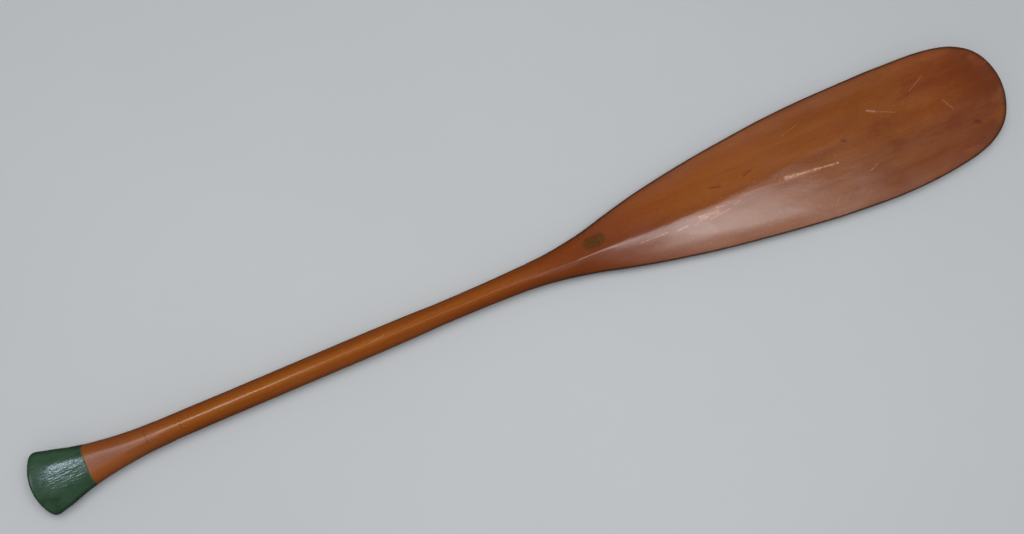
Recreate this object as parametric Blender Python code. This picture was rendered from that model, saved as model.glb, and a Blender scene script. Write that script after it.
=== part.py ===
"""Single blade paddle: a wooden paddle with a beavertail blade and a flared, painted grip.

The paddle is a glued-up assembly:

  shaft_stem         one straight stick, from the grip's end to the blade's tip: it is the
                     round shaft, the middle of the blade and the core of the grip
  blade_wing_left    board glued to the stem's flat side, makes the blade's left half
  blade_wing_right   board glued to the other flat side, makes the blade's right half
  grip_cheek_left    block glued to the stem, makes the grip's left half
  grip_cheek_right   block glued to the stem, makes the grip's right half
  grip_enamel        coat of green enamel, a thin cup over the end of the grip
  throat_decal       thin transfer on the front of the blade, beside the ridge

Frame: +X runs from the grip to the blade's tip, +Z is the front of the blade, and +Y is the
left edge for someone looking at the front with the grip towards them.  The origin is the
centre of the paddle's footprint, on the plane that its lowest point rests on.
All lengths below are in millimetres.
"""

import math

import bmesh
import bpy
import numpy as np

for old in list(bpy.data.objects):
    bpy.data.objects.remove(old, do_unlink=True)

MM = 0.001

# ---------------------------------------------------------------- driving dimensions
LENGTH = 1402.4            # grip end to blade tip
TIP_X = LENGTH / 2
END_X = -LENGTH / 2

STEM_HALF = 17.0           # half width of the stem where the boards are glued to it
GLUE_GAP = 0.15            # clearance left at each glued face
NOSE = 1.1                 # thickness of a board where it starts beside the stem
GLUE_Y = STEM_HALF + GLUE_GAP
BOARD_START_Y = GLUE_Y + NOSE
RIM = 0.4                  # half height of the narrow flat left along every outline
LIE_Z = 15.6               # grip and throat are cut flat at this height, front and back

GRIP_ARC_R = 74.0          # radius of the grip's curved end, seen from the front
GRIP_ARC_Y = -2.7          # sideways place of that curve's top
GRIP_ARC_X = -600.0        # the curved end bounds the outline only on the grip's side of this
GRIP_CORNER = 8.0          # blending length of the grip's two corners
GRIP_ROUND = 7.5           # how far in from its end the grip reaches full depth
CORNER_ROUND = 2.0         # rounding all round the end, seen in section
CORNER_ROUND_X = (-640.0, -680.0)  # that rounding comes in over this stretch
CROWN_X = (-560.0, -680.0)         # the round section grows fuller over this stretch
ROUND_POWER = 0.5          # section exponent of a plain ellipse
CROWN_POWER_DROP = 0.08    # taken off that exponent at the grip's end

PAINT_X = -616.5           # the wood changes size here, at the end of the enamel
PAINT_STEP = 0.4           # stations this far either side make that change of size
CUP_BACK = 0.9             # the enamel's lip stops this far short of it
WOOD_UNDER = -0.35         # the wood under the enamel is this much smaller
COAT_IN = -0.05            # inner face of the enamel
COAT_OUT = 0.30            # outer face of the enamel

LAND_START, LAND_END = 480.0, 640.0  # half thickness at the ridge is constant between these
LAND_Z = 4.1               # half thickness of the blade there
BLADE_EDGE = 2.3           # half thickness of the blade just inside its rounded edge
STRIP_PAST_STEM = 12.0     # the flat strip's final reach beyond the stem's side
STRIP_X = (313.0, 603.0)   # the ridge opens into that strip
BLADE_START_X = 10.0
BLADE_BLEND_X = (BLADE_START_X, 110.0)  # the oval section turns into ridge and flanks
OVAL_SHIFT_X = (0.0, 90.0)              # the oval's top moves from the middle to the ridge

# Flanks: share of straight profile, against round, with each rise as (amount, stretch).
CREASE_START = 0.3
CREASE_RISES = [(0.2, (40.0, 130.0)), (0.5, (130.0, 240.0))]
HOLLOW = 0.25              # extra exponent that hollows the straight profile
HOLLOW_IN_X = (180.0, 260.0)
HOLLOW_OUT_X = (330.0, 450.0)
FLANK_BOW_X = (450.0, 520.0)  # the straight profile turns into a parabola

DECAL_X = 117.5            # centre of the transfer
DECAL_Y = 9.0
DECAL_LENGTH, DECAL_WIDTH = 33.0, 19.0
DECAL_GAP = 0.22
DECAL_THICK = 0.12
DECAL_BULGE = 0.16         # how much the transfer narrows towards its corners
DECAL_CELLS = (8, 6)       # along X, along Y

SHARP_ANGLE = math.radians(38)

# Half width of the outline: (x, half width).
HALF_WIDTH = [
    (END_X, 50.0), (-675.8, 43.6), (-654.5, 38.2), (-633.0, 31.9), (-612.0, 27.4),
    (-590.5, 23.9), (-569.0, 21.2), (-548.0, 19.2), (-526.0, 18.0), (-484.0, 17.1),
    (-400.0, 16.6), (-270.0, 16.6), (-150.0, 16.0), (-108.0, 15.0), (-68.0, 15.1),
    (-5.0, 16.4), (39.0, 18.9), (60.0, 21.3), (103.0, 28.8), (145.0, 39.3),
    (188.0, 49.2), (231.0, 57.4), (273.0, 64.4), (327.0, 71.6), (391.0, 78.9),
    (455.0, 83.6), (530.0, 85.7), (572.0, 84.4), (615.0, 80.7), (650.5, 72.8),
    (674.1, 60.1), (687.2, 46.8), (694.1, 34.0), (698.5, 21.0), (TIP_X, 0.0),
]
# How far the outline's middle sits from the axis: (x, y).
MIDDLE_Y = [
    (END_X, -3.0), (-665.0, -3.0), (-623.0, -2.1), (-580.0, -1.5), (-527.0, -0.5),
    (-484.0, 0.0), (0.0, 0.0), (60.0, -1.2), (103.0, -1.9), (188.0, -2.4),
    (273.0, -3.8), (391.0, -6.0), (455.0, -7.9), (520.0, -9.3), (560.0, -9.2),
    (615.0, -7.8), (660.0, -7.2), (TIP_X, -7.2),
]
# Where the blade's ridge runs: (x, y).
RIDGE_Y = [
    (-40.0, 0.0), (0.0, -2.2), (35.0, -4.6), (90.0, -5.2), (150.0, -5.8), (215.0, -7.2),
    (330.0, -7.4), (480.0, -7.0), (TIP_X, -7.0),
]
# Half thickness at the ridge line: (x, half thickness).
HALF_DEPTH = [
    (END_X, 13.0), (-685.0, 15.4), (-660.0, 17.2), (-635.0, 17.6), (-600.0, 17.2),
    (-560.0, 16.2), (-520.0, 15.6), (-400.0, 15.5), (-270.0, 15.5), (-180.0, 15.4),
    (-108.0, 14.8), (-50.0, 15.0), (0.0, 15.9), (40.0, 16.6), (75.0, 15.8),
    (105.0, 13.9), (135.0, 11.6), (190.0, 9.2), (260.0, 7.3), (330.0, 6.0),
    (400.0, 5.0), (LAND_START, LAND_Z), (LAND_END, LAND_Z), (TIP_X, 3.4),
]


# ---------------------------------------------------------------- curves along the paddle
def spline(table, warp=lambda x: x):
    """A monotone cubic curve through a table of stations, measured along warp(x)."""
    xs = np.array([warp(x) for x, _ in table], float)
    values = np.array([value for _, value in table], float)
    step = np.diff(xs)
    slope = np.diff(values) / step
    tangent = np.zeros(len(xs))
    for i in range(1, len(xs) - 1):
        if slope[i - 1] * slope[i] > 0:
            before = 2 * step[i] + step[i - 1]
            after = step[i] + 2 * step[i - 1]
            tangent[i] = (before + after) / (before / slope[i - 1] + after / slope[i])
    tangent[0], tangent[-1] = slope[0], slope[-1]

    def curve(x):
        x = warp(x)
        i = int(np.clip(np.searchsorted(xs, x) - 1, 0, len(step) - 1))
        t = min(max((x - xs[i]) / step[i], 0.0), 1.0)
        return float(
            values[i] * (1 + 2 * t) * (1 - t) ** 2
            + step[i] * tangent[i] * t * (1 - t) ** 2
            + values[i + 1] * t * t * (3 - 2 * t)
            + step[i] * tangent[i + 1] * t * t * (t - 1)
        )

    return curve


def from_tip(x):
    """The outline closes at the tip like a square root, so it is smooth in this measure."""
    return -math.sqrt(max(TIP_X - x, 0.0))


half_width = spline(HALF_WIDTH, from_tip)
middle_y = spline(MIDDLE_Y)
half_thick = spline(HALF_DEPTH)
ridge_y = spline(RIDGE_Y)


def rate(curve, x, step=0.25):
    """Slope of a curve at station x."""
    low, high = x - step, min(x + step, TIP_X)
    return (curve(high) - curve(low)) / (high - low)


def smooth(start, stop, x):
    """Eases from 0 at start to 1 at stop."""
    t = min(max((x - start) / (stop - start), 0.0), 1.0)
    return t * t * (3 - 2 * t)


def bisect(near, far, is_near, rounds=50):
    """The place between near and far where is_near stops being true."""
    for _ in range(rounds):
        mid = (near + far) / 2
        if is_near(mid):
            near = mid
        else:
            far = mid
    return near


# ---------------------------------------------------------------- outline
# Here and below, grow moves the surface outwards; sign is +1 on the left, -1 on the right.
BLADE_INSET_X = 150.0      # from here the inset is measured in a way that holds at the tip


def side_slant(x):
    """Length of the side line per unit of x."""
    return math.sqrt(1 + rate(half_width, x) ** 2)


def side_inset(x, y, grow=0.0):
    """Distance from a point to the long outline, positive inside."""
    width, across = half_width(x), y - middle_y(x)
    if x < BLADE_INSET_X:
        return (width - np.abs(across)) / side_slant(x) + grow
    # first-order distance to the curve across^2 = width^2
    field = width * width - across ** 2
    field_x = rate(lambda s: half_width(s) ** 2, x) + 2 * across * rate(middle_y, x)
    tiny = 1e-9            # keeps the gradient off zero
    return field / np.sqrt(field_x ** 2 + 4 * across ** 2 + tiny) + grow


def end_inset(x, y, grow):
    """Distance from a point to the grip's curved end, positive inside."""
    return GRIP_ARC_R - np.hypot(x - (END_X + GRIP_ARC_R), y - GRIP_ARC_Y) + grow


def inset(x, y, grow=0.0):
    """Distance to the whole outline: the sides, and the curved end of the grip."""
    side = side_inset(x, y, grow)
    if x > GRIP_ARC_X:
        return side
    end = end_inset(x, y, grow)
    blend = np.maximum(GRIP_CORNER - np.abs(side - end), 0) / GRIP_CORNER
    return np.minimum(side, end) - blend * blend * GRIP_CORNER / 4


def outline(x, sign, grow=0.0):
    """Where the outline lies at station x, on one side."""
    middle, width = middle_y(x), half_width(x)
    if x > GRIP_ARC_X:
        return middle + sign * (width + grow * side_slant(x))
    beyond = 5             # margin that puts the far end of the search outside
    far = middle + sign * (width + beyond + abs(grow))
    return bisect(GRIP_ARC_Y, far, lambda y: inset(x, y, grow) > 0)


# ---------------------------------------------------------------- section
def rounded(distance, radius):
    """Quarter round: 0 at the edge, 1 from radius inwards."""
    return np.sqrt(np.maximum(1 - (1 - np.clip(distance / radius, 0, 1)) ** 2, 0))


def grip_shaft_depth(x, y, thick, edge_distance, grow):
    """Round in the shaft, a crowned fan with a rounded end in the grip."""
    full = half_width(x) / side_slant(x) + grow
    across = 1 - np.clip(side_inset(x, y, grow) / full, 0, 1)
    power = ROUND_POWER - CROWN_POWER_DROP * smooth(*CROWN_X, x)
    depth = thick * np.maximum(1 - across ** 2, 0) ** power
    if x < GRIP_ARC_X:
        depth = depth * rounded(end_inset(x, y, grow), GRIP_ROUND + grow)
        corner = 1 - rounded(edge_distance, CORNER_ROUND + grow)
        depth = depth * (1 - corner * smooth(*CORNER_ROUND_X, x))
    return depth


def reach(x, y, top):
    """Distance from the line at top to the outline, on the side of it where y is."""
    middle, width = middle_y(x), half_width(x)
    return np.where(y >= top, middle + width - top, top - (middle - width))


def blade_depth(x, y, thick, edge_distance):
    """From the round shaft to a ridge between two flanks, then a flat strip."""
    middle, ridge = middle_y(x), ridge_y(x)
    top = middle + (ridge - middle) * smooth(*OVAL_SHIFT_X, x)
    across = np.clip(np.abs(y - top) / reach(x, y, top), 0, 1)
    oval = thick * np.sqrt(np.maximum(1 - across ** 2, 0))

    strip = (STEM_HALF + STRIP_PAST_STEM) * smooth(*STRIP_X, x)
    flank_width = np.maximum(reach(x, y, ridge) - strip, 1e-6)
    across = np.clip((np.abs(y - ridge) - strip) / flank_width, 0, 1)
    crease = CREASE_START + sum(rise * smooth(*span, x) for rise, span in CREASE_RISES)
    hollow = 1 + HOLLOW * smooth(*HOLLOW_IN_X, x) * (1 - smooth(*HOLLOW_OUT_X, x))
    straight = (1 - across ** (1 + smooth(*FLANK_BOW_X, x))) ** hollow
    flank = (1 - crease) * np.sqrt(1 - across ** 2) + crease * straight
    flank = BLADE_EDGE + (thick - BLADE_EDGE) * flank

    blend = smooth(*BLADE_BLEND_X, x)
    return oval * (1 - blend) + flank * rounded(edge_distance, BLADE_EDGE) * blend


def half_depth(x, y, grow=0.0):
    """Half thickness of the paddle at a point of its face."""
    y = np.asarray(y, float)
    thick = half_thick(x) + grow
    edge_distance = np.maximum(inset(x, y, grow), 0.0)
    if x < BLADE_START_X:
        depth = grip_shaft_depth(x, y, thick, edge_distance, grow)
    else:
        depth = blade_depth(x, y, thick, edge_distance)
    return np.clip(depth, RIM, LIE_Z + grow)


# ---------------------------------------------------------------- stations
# Distances in from the grip's end and from the blade's tip.
END_STEPS = [0.07, 0.5, 1.4, 2.9, 5.0, 8.0, 12.0, 17.5, 25.0, 36.0, 50.0, 67.0]
TIP_STEPS = [0.08, 0.45, 1.2, 2.4, 4.4, 7.5, 12.0, 18.0, 26.0, 37.0, 50.0]


def end_stations(grow):
    return [END_X - grow + step for step in END_STEPS]


GRIP_STATIONS = end_stations(WOOD_UNDER) + [PAINT_X - PAINT_STEP, PAINT_X + PAINT_STEP]
SHAFT_STATIONS = [
    -600.0, -580.0, -560.0, -535.0, -505.0, -470.0, -400.0, -270.0, -190.0, -150.0, -125.0,
    -108.0, -85.0, -60.0, -30.0, 0.0,
]
THROAT_STATIONS = [16.0, 28.0]
BLADE_STATIONS = [
    34.0, 46.0, 58.0, 70.0, 82.0, 94.0, 106.0, 118.0, 130.0, 144.0, 160.0, 178.0, 200.0,
    225.0, 255.0, 290.0, 330.0, 375.0, 425.0, LAND_START, 530.0, 585.0, 615.0, LAND_END,
]
TIP_STATIONS = [TIP_X - step for step in reversed(TIP_STEPS)]

# Least gap between a board's own end and the next station.
OUTER_GAP = 0.3            # at the paddle's two ends
SHAFT_GAP = 4.0            # towards the shaft


def board_end(sign, thin, wide, grow=0.0):
    """Station between thin and wide where the outline leaves room for a board's nose."""
    return bisect(thin, wide, lambda x: sign * outline(x, sign, grow) < BOARD_START_Y)


def between(first, last, stations, first_gap, last_gap):
    """The two end stations, and those that lie clear between them."""
    kept = [x for x in stations if first + first_gap < x < last - last_gap]
    return [first, *kept, last]


def under_paint(x):
    return WOOD_UNDER if x < PAINT_X else 0.0


# ---------------------------------------------------------------- points across a section
SPREAD_STEPS = 5           # steps from the middle point to each side

# Points in from the outline: some at shares (near) of an edge zone, then even steps (rest).
BOARD_SPACING = dict(zone=2.6, near=(0, 0.15, 0.5), rest=4)
GRIP_SPACING = dict(zone=9.0, near=(0, 0.1, 0.35), rest=2)


def spread(left, right, mid):
    """Points from left to right, packed near both, with one on mid."""
    turns = [math.pi / 2 * k / SPREAD_STEPS for k in range(SPREAD_STEPS + 1)]
    left_part = [mid + (left - mid) * math.cos(turn) for turn in turns[:-1]]
    right_part = [mid + (right - mid) * math.sin(turn) for turn in turns]
    return np.array(left_part + right_part)


def stem_ys(x, grow):
    """Points across the stem, one of them on the ridge where it lies well inside."""
    left = min(outline(x, 1, grow), STEM_HALF)
    right = max(outline(x, -1, grow), -STEM_HALF)
    mid = min(max(ridge_y(x), right + 0.3 * (left - right)), left)
    return spread(left, right, mid)


def edge_ys(x, sign, inner, grow, zone, near, rest):
    """Points from the outline in to the line y = inner, packed near the outline."""
    rim = outline(x, sign, grow)
    width = abs(rim - inner)
    zone = min(zone, 0.5 * width)
    steps = [zone * share for share in near]
    steps += [zone + (width - zone) * k / rest for k in range(rest + 1)]
    return np.array([rim - sign * step for step in steps])


def ring(x, ys, grow=0.0):
    """The closed section at station x between the first and last of ys, front then back."""
    zs = half_depth(x, ys, grow)
    front = [(x * MM, y * MM, z * MM) for y, z in zip(ys, zs)]
    back = [(x * MM, y * MM, -z * MM) for y, z in zip(ys, zs)]
    return front + back[::-1]


# ---------------------------------------------------------------- making solids
def solid(name, bm):
    """Turns a closed body's faces outwards and shades it smooth, but for its real edges."""
    bmesh.ops.recalc_face_normals(bm, faces=bm.faces)
    bmesh.ops.triangulate(bm, faces=bm.faces)
    mesh = bpy.data.meshes.new(name)
    bm.to_mesh(mesh)
    bm.free()
    mesh.shade_smooth()
    mesh.set_sharp_from_angle(angle=SHARP_ANGLE)
    return mesh


def loft(name, rings):
    """Joins rings of points, all of one count, into a closed body with two flat ends."""
    bm = bmesh.new()
    grid = [[bm.verts.new(point) for point in points] for points in rings]
    for here, there in zip(grid, grid[1:]):
        count = len(here)
        for i in range(count):
            j = (i + 1) % count
            bm.faces.new((here[i], here[j], there[j], there[i]))
    bm.faces.new(grid[0])
    bm.faces.new(grid[-1])
    return solid(name, bm)


# ---------------------------------------------------------------- pieces
def shaft_stem(name):
    stations = (GRIP_STATIONS + SHAFT_STATIONS + THROAT_STATIONS
                + BLADE_STATIONS + TIP_STATIONS)
    rings = []
    for x in stations:
        grow = under_paint(x)
        rings.append(ring(x, stem_ys(x, grow), grow))
    return loft(name, rings)


def side_board(name, sign, stations, spacing):
    """A board that fills the outline from the stem's flat side outwards."""
    rings = []
    for x in stations:
        grow = under_paint(x)
        rings.append(ring(x, edge_ys(x, sign, sign * GLUE_Y, grow, **spacing), grow))
    return loft(name, rings)


def blade_wing(name, sign):
    start = board_end(sign, 0.0, 100.0)
    stop = board_end(sign, TIP_X, LAND_END)
    stations = between(start, stop, BLADE_STATIONS + TIP_STATIONS, SHAFT_GAP, OUTER_GAP)
    return side_board(name, sign, stations, BOARD_SPACING)


def grip_cheek(name, sign):
    start = board_end(sign, END_X, END_X + 10, WOOD_UNDER)
    stop = board_end(sign, -480.0, -600.0)
    stations = between(start, stop, GRIP_STATIONS + SHAFT_STATIONS, OUTER_GAP, SHAFT_GAP)
    return side_board(name, sign, stations, GRIP_SPACING)


def cup_ring(x, grow):
    parts = []
    for sign in (1, -1):
        inner = sign * min(STEM_HALF, 0.75 * abs(outline(x, sign, grow)))
        parts.append(edge_ys(x, sign, inner, grow, **GRIP_SPACING))
    left, right = parts
    centre = spread(left[-1], right[-1], 0.0)[1:-1]
    return ring(x, np.concatenate([left, centre, right[::-1]]), grow)


def grip_enamel(name):
    """A thin cup: outer skin from the grip's end to the lip, then back along the inside."""
    lip_x = PAINT_X - CUP_BACK
    outer = [cup_ring(x, COAT_OUT) for x in end_stations(COAT_OUT) + [lip_x]]
    inner = [cup_ring(x, COAT_IN) for x in end_stations(COAT_IN) + [lip_x]]
    return loft(name, outer + inner[::-1])


def throat_decal(name):
    """A thin plate with bulging sides that follows the blade's front."""
    nx, ny = DECAL_CELLS
    bm = bmesh.new()

    def vertex(i, j, lift):
        u, v = 2 * i / nx - 1, 2 * j / ny - 1
        x = DECAL_X + DECAL_LENGTH / 2 * u * math.sqrt(1 - DECAL_BULGE * v * v)
        y = DECAL_Y + DECAL_WIDTH / 2 * v * math.sqrt(1 - DECAL_BULGE * u * u)
        z = float(half_depth(x, y)) + lift
        return bm.verts.new((x * MM, y * MM, z * MM))

    low, top = [
        [[vertex(i, j, lift) for j in range(ny + 1)] for i in range(nx + 1)]
        for lift in (DECAL_GAP, DECAL_GAP + DECAL_THICK)
    ]
    for layer in (low, top):
        for here, there in zip(layer, layer[1:]):
            for j in range(ny):
                bm.faces.new((here[j], there[j], there[j + 1], here[j + 1]))
    border = [(i, 0) for i in range(nx)] + [(nx, j) for j in range(ny)]
    border += [(i, ny) for i in range(nx, 0, -1)] + [(0, j) for j in range(ny, 0, -1)]
    for (a, b), (c, d) in zip(border, border[1:] + border[:1]):
        bm.faces.new((low[a][b], low[c][d], top[c][d], top[a][b]))
    return solid(name, bm)


# ---------------------------------------------------------------- materials
def material(name, colour, rough, coat=0.0):
    mat = bpy.data.materials.new(name)
    mat.use_nodes = True
    shader = mat.node_tree.nodes["Principled BSDF"]
    shader.inputs["Base Color"].default_value = (*colour, 1.0)
    shader.inputs["Roughness"].default_value = rough
    shader.inputs["Coat Weight"].default_value = coat
    mat.diffuse_color = (*colour, 1.0)
    return mat


def varnish(part, colour, rough):
    return material(f"varnished_{part}", colour, rough, coat=0.5)


looks = {
    "shaft_stem": varnish("stem", colour=(0.215, 0.062, 0.020), rough=0.32),
    "blade_wing_left": varnish("wing_left", colour=(0.205, 0.060, 0.020), rough=0.32),
    "blade_wing_right": varnish("wing_right", colour=(0.222, 0.067, 0.023), rough=0.32),
    "grip_cheek_left": varnish("cheek_left", colour=(0.235, 0.085, 0.035), rough=0.34),
    "grip_cheek_right": varnish("cheek_right", colour=(0.228, 0.080, 0.032), rough=0.34),
    "grip_enamel": material(
        "green_enamel", colour=(0.035, 0.062, 0.040), rough=0.22, coat=0.3),
    "throat_decal": material("transfer_film", colour=(0.060, 0.056, 0.030), rough=0.4),
}

# ---------------------------------------------------------------- assembly
meshes = [shaft_stem("shaft_stem"), grip_enamel("grip_enamel"), throat_decal("throat_decal")]
for side, sign in (("left", 1), ("right", -1)):
    meshes.append(blade_wing(f"blade_wing_{side}", sign))
    meshes.append(grip_cheek(f"grip_cheek_{side}", sign))

points = np.array([vertex.co[:] for mesh in meshes for vertex in mesh.vertices])
low, high = points.min(axis=0), points.max(axis=0)

collection = bpy.data.collections.new("single_blade_paddle")
bpy.context.scene.collection.children.link(collection)
axis = bpy.data.objects.new("paddle_axis", None)
axis.location = (-(low[0] + high[0]) / 2, -(low[1] + high[1]) / 2, -low[2])
collection.objects.link(axis)

for mesh in meshes:
    mesh.materials.append(looks[mesh.name])
    piece = bpy.data.objects.new(mesh.name, mesh)
    piece.parent = axis
    collection.objects.link(piece)
bpy.context.view_layer.update()
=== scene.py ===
"""A single blade paddle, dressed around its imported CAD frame.

The shaft runs along x, with the grip's end at -x and the blade's tip at +x.  The left side
is +y, and the front face is +z, turned up from the floor.  Every visible piece is a closed
fine mesh that rides on the one body.  Shape rules are in millimetres from the shaft's axis at
mid-length; meshes, materials and lights are in metres.
"""

import math

import bmesh
import bpy
import numpy as np
from mathutils import Matrix, Vector


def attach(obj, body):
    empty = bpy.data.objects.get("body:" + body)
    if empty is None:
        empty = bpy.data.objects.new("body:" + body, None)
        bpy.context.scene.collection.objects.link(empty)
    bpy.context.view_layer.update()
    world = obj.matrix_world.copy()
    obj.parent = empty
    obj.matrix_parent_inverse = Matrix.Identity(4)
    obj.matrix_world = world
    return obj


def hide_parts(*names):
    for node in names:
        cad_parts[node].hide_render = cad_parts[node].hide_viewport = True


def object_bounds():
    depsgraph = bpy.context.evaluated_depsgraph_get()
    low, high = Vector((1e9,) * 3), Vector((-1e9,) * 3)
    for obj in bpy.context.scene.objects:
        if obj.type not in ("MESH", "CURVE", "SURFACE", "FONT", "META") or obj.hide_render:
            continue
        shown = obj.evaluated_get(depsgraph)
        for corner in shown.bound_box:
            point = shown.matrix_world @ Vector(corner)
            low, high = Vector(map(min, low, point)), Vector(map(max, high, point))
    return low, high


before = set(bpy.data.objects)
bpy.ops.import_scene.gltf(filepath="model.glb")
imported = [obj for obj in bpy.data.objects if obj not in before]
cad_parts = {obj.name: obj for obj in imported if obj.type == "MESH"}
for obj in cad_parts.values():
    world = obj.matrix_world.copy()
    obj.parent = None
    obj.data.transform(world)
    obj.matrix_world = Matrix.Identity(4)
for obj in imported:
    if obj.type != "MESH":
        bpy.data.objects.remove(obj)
cad_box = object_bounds()

MM = 0.001

# ------------------------------------------------------------------ the paddle's shape rules
LENGTH = 1402.4
TIP_X = LENGTH / 2
END_X = -LENGTH / 2
STEM_HALF = 17.0            # half width of the middle piece that runs the whole length
PIECE_GAP = 0.03            # between the middle piece and the side pieces
NOSE = 0.35                 # width of a side piece where it begins and ends
GRIP_X = -600.0             # the grip's own outline and section rules hold below this
BLADE_X = 10.0              # the blade's section rules hold from here on
CURVED_X = 150.0            # from here on the side inset follows the curved outline
GRIP_ARC_R = 74.0
GRIP_ARC_Y = -2.7
GRIP_CORNER = 8.0
GRIP_ROUND = 7.5
CORNER_ROUND = 2.0
PAINT_X = -616.5
UNDER_PAINT = -0.30         # the wood's offset beneath the enamel
CUP_OUT = 0.20              # offsets of the enamel's outer and inner skins
CUP_IN = -0.20
LAND_X = (480.0, 640.0)     # the blade is evenly thick between these
LAND_Z = 4.1
LAND_GROWTH = (313, 603)    # the flat land widens over these stations
LAND_EXTRA = 12.0
BLADE_EDGE = 2.3
LIE_Z = 15.6                # height of the planed flats
SLOPE_STEP = 0.25           # half the span over which slopes are taken
DECAL_X, DECAL_Y = 117.5, 9.0
DECAL_SIZE = (33.0, 19.0)
AXIS_SHIFT_X = 0.155        # from the CAD's middle to the middle of the length

# station x, half width of the outline
HALF_WIDTH = [
    (-701.2, 50.0), (-675.8, 43.6), (-654.5, 38.2), (-633.0, 31.9), (-612.0, 27.4),
    (-590.5, 23.9), (-569.0, 21.2), (-548.0, 19.2), (-526.0, 18.0), (-484.0, 17.1),
    (-400.0, 16.6), (-270.0, 16.6), (-150.0, 16.0), (-108.0, 15.0), (-68.0, 15.1),
    (-5.0, 16.4), (39.0, 18.9), (60.0, 21.3), (103.0, 28.8), (145.0, 39.3),
    (188.0, 49.2), (231.0, 57.4), (273.0, 64.4), (327.0, 71.6), (391.0, 78.9),
    (455.0, 83.6), (530.0, 85.7), (572.0, 84.4), (615.0, 80.7), (650.5, 72.8),
    (674.1, 60.1), (687.2, 46.8), (694.1, 34.0), (698.5, 21.0), (701.2, 0.0),
]
# station x, y of the outline's middle
MIDDLE_Y = [
    (-701.2, -3.0), (-665.0, -3.0), (-623.0, -2.1), (-580.0, -1.5), (-527.0, -0.5),
    (-484.0, 0.0), (0.0, 0.0), (60.0, -1.2), (103.0, -1.9), (188.0, -2.4),
    (273.0, -3.8), (391.0, -6.0), (455.0, -7.9), (520.0, -9.3), (560.0, -9.2),
    (615.0, -7.8), (660.0, -7.2), (701.2, -7.2),
]
# station x, y of the ridge along the blade
RIDGE_Y = [
    (-40.0, 0.0), (0.0, -2.2), (35.0, -4.6), (90.0, -5.2), (150.0, -5.8), (215.0, -7.2),
    (330.0, -7.4), (480.0, -7.0), (701.2, -7.0),
]
# station x, half thickness at its greatest
HALF_DEPTH = [
    (-701.2, 13.0), (-685.0, 15.4), (-660.0, 17.2), (-635.0, 17.6), (-600.0, 17.2),
    (-560.0, 16.2), (-520.0, 15.6), (-400.0, 15.5), (-270.0, 15.5), (-180.0, 15.4),
    (-108.0, 14.8), (-50.0, 15.0), (0.0, 15.9), (40.0, 16.6), (75.0, 15.8),
    (105.0, 13.9), (135.0, 11.6), (190.0, 9.2), (260.0, 7.3), (330.0, 6.0),
    (400.0, 5.0), (LAND_X[0], LAND_Z), (LAND_X[1], LAND_Z), (701.2, 3.4),
]


def spline(table, warp=lambda x: x):
    """A monotone cubic curve through a table of stations, for arrays."""
    xs = np.array([warp(x) for x, _ in table], float)
    ys = np.array([y for _, y in table], float)
    step = np.diff(xs)
    slope = np.diff(ys) / step
    tangent = np.zeros(len(xs))
    for i in range(1, len(xs) - 1):
        if slope[i - 1] * slope[i] > 0:
            before = 2 * step[i] + step[i - 1]
            after = step[i] + 2 * step[i - 1]
            tangent[i] = (before + after) / (before / slope[i - 1] + after / slope[i])
    tangent[0], tangent[-1] = slope[0], slope[-1]

    def curve(x):
        x = warp(np.asarray(x, float))
        i = np.clip(np.searchsorted(xs, x) - 1, 0, len(step) - 1)
        part = np.clip((x - xs[i]) / step[i], 0.0, 1.0)
        return (
            ys[i] * (1 + 2 * part) * (1 - part) ** 2
            + step[i] * tangent[i] * part * (1 - part) ** 2
            + ys[i + 1] * part * part * (3 - 2 * part)
            + step[i] * tangent[i + 1] * part * part * (part - 1)
        )

    return curve


def from_tip(x):
    """Stretches x near the tip, so that the outline closes there as a round nose."""
    return -np.sqrt(np.maximum(TIP_X - np.asarray(x, float), 0.0))


half_width = spline(HALF_WIDTH, from_tip)
middle_y = spline(MIDDLE_Y)
half_thick = spline(HALF_DEPTH)
ridge_y = spline(RIDGE_Y)


def smooth(start, end, x):
    """0 at start, 1 at end, eased between; start may be the greater."""
    part = np.clip((np.asarray(x, float) - start) / (end - start), 0.0, 1.0)
    return part * part * (3 - 2 * part)


def rounded(distance, radius):
    """Height of a quarter circle of unit height, at a distance from its foot."""
    return np.sqrt(np.maximum(1 - (1 - np.clip(distance / radius, 0, 1)) ** 2, 0))


def side_inset(x, y, off=0.0):
    """Distance inward from the side outline, which is grown by off."""
    wide, middle = half_width(x), middle_y(x)
    low, high = x - SLOPE_STEP, np.minimum(x + SLOPE_STEP, TIP_X)
    slope = (half_width(high) - half_width(low)) / (high - low)
    plain = (wide - np.abs(y - middle)) / np.sqrt(1 + slope * slope)
    square_slope = (half_width(high) ** 2 - half_width(low) ** 2) / (high - low)
    middle_slope = (middle_y(high) - middle_y(low)) / (high - low)
    level = wide * wide - (y - middle) ** 2
    level_slope = square_slope + 2 * (y - middle) * middle_slope
    curved = level / np.sqrt(level_slope ** 2 + 4 * (y - middle) ** 2 + 1e-9)
    return np.where(x < CURVED_X, plain, curved) + off


def end_inset(x, y, off=0.0):
    """Distance inward from the arc at the grip's end."""
    return GRIP_ARC_R - np.hypot(x - (END_X + GRIP_ARC_R), y - GRIP_ARC_Y) + off


def inset(x, y, off=0.0):
    """Distance inward from the whole outline, with the grip's corners blended."""
    side = side_inset(x, y, off)
    end = end_inset(x, y, off)
    blend = np.maximum(GRIP_CORNER - np.abs(side - end), 0) / GRIP_CORNER
    both = np.minimum(side, end) - blend * blend * GRIP_CORNER / 4
    return np.where(x > GRIP_X, side, both)


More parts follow.
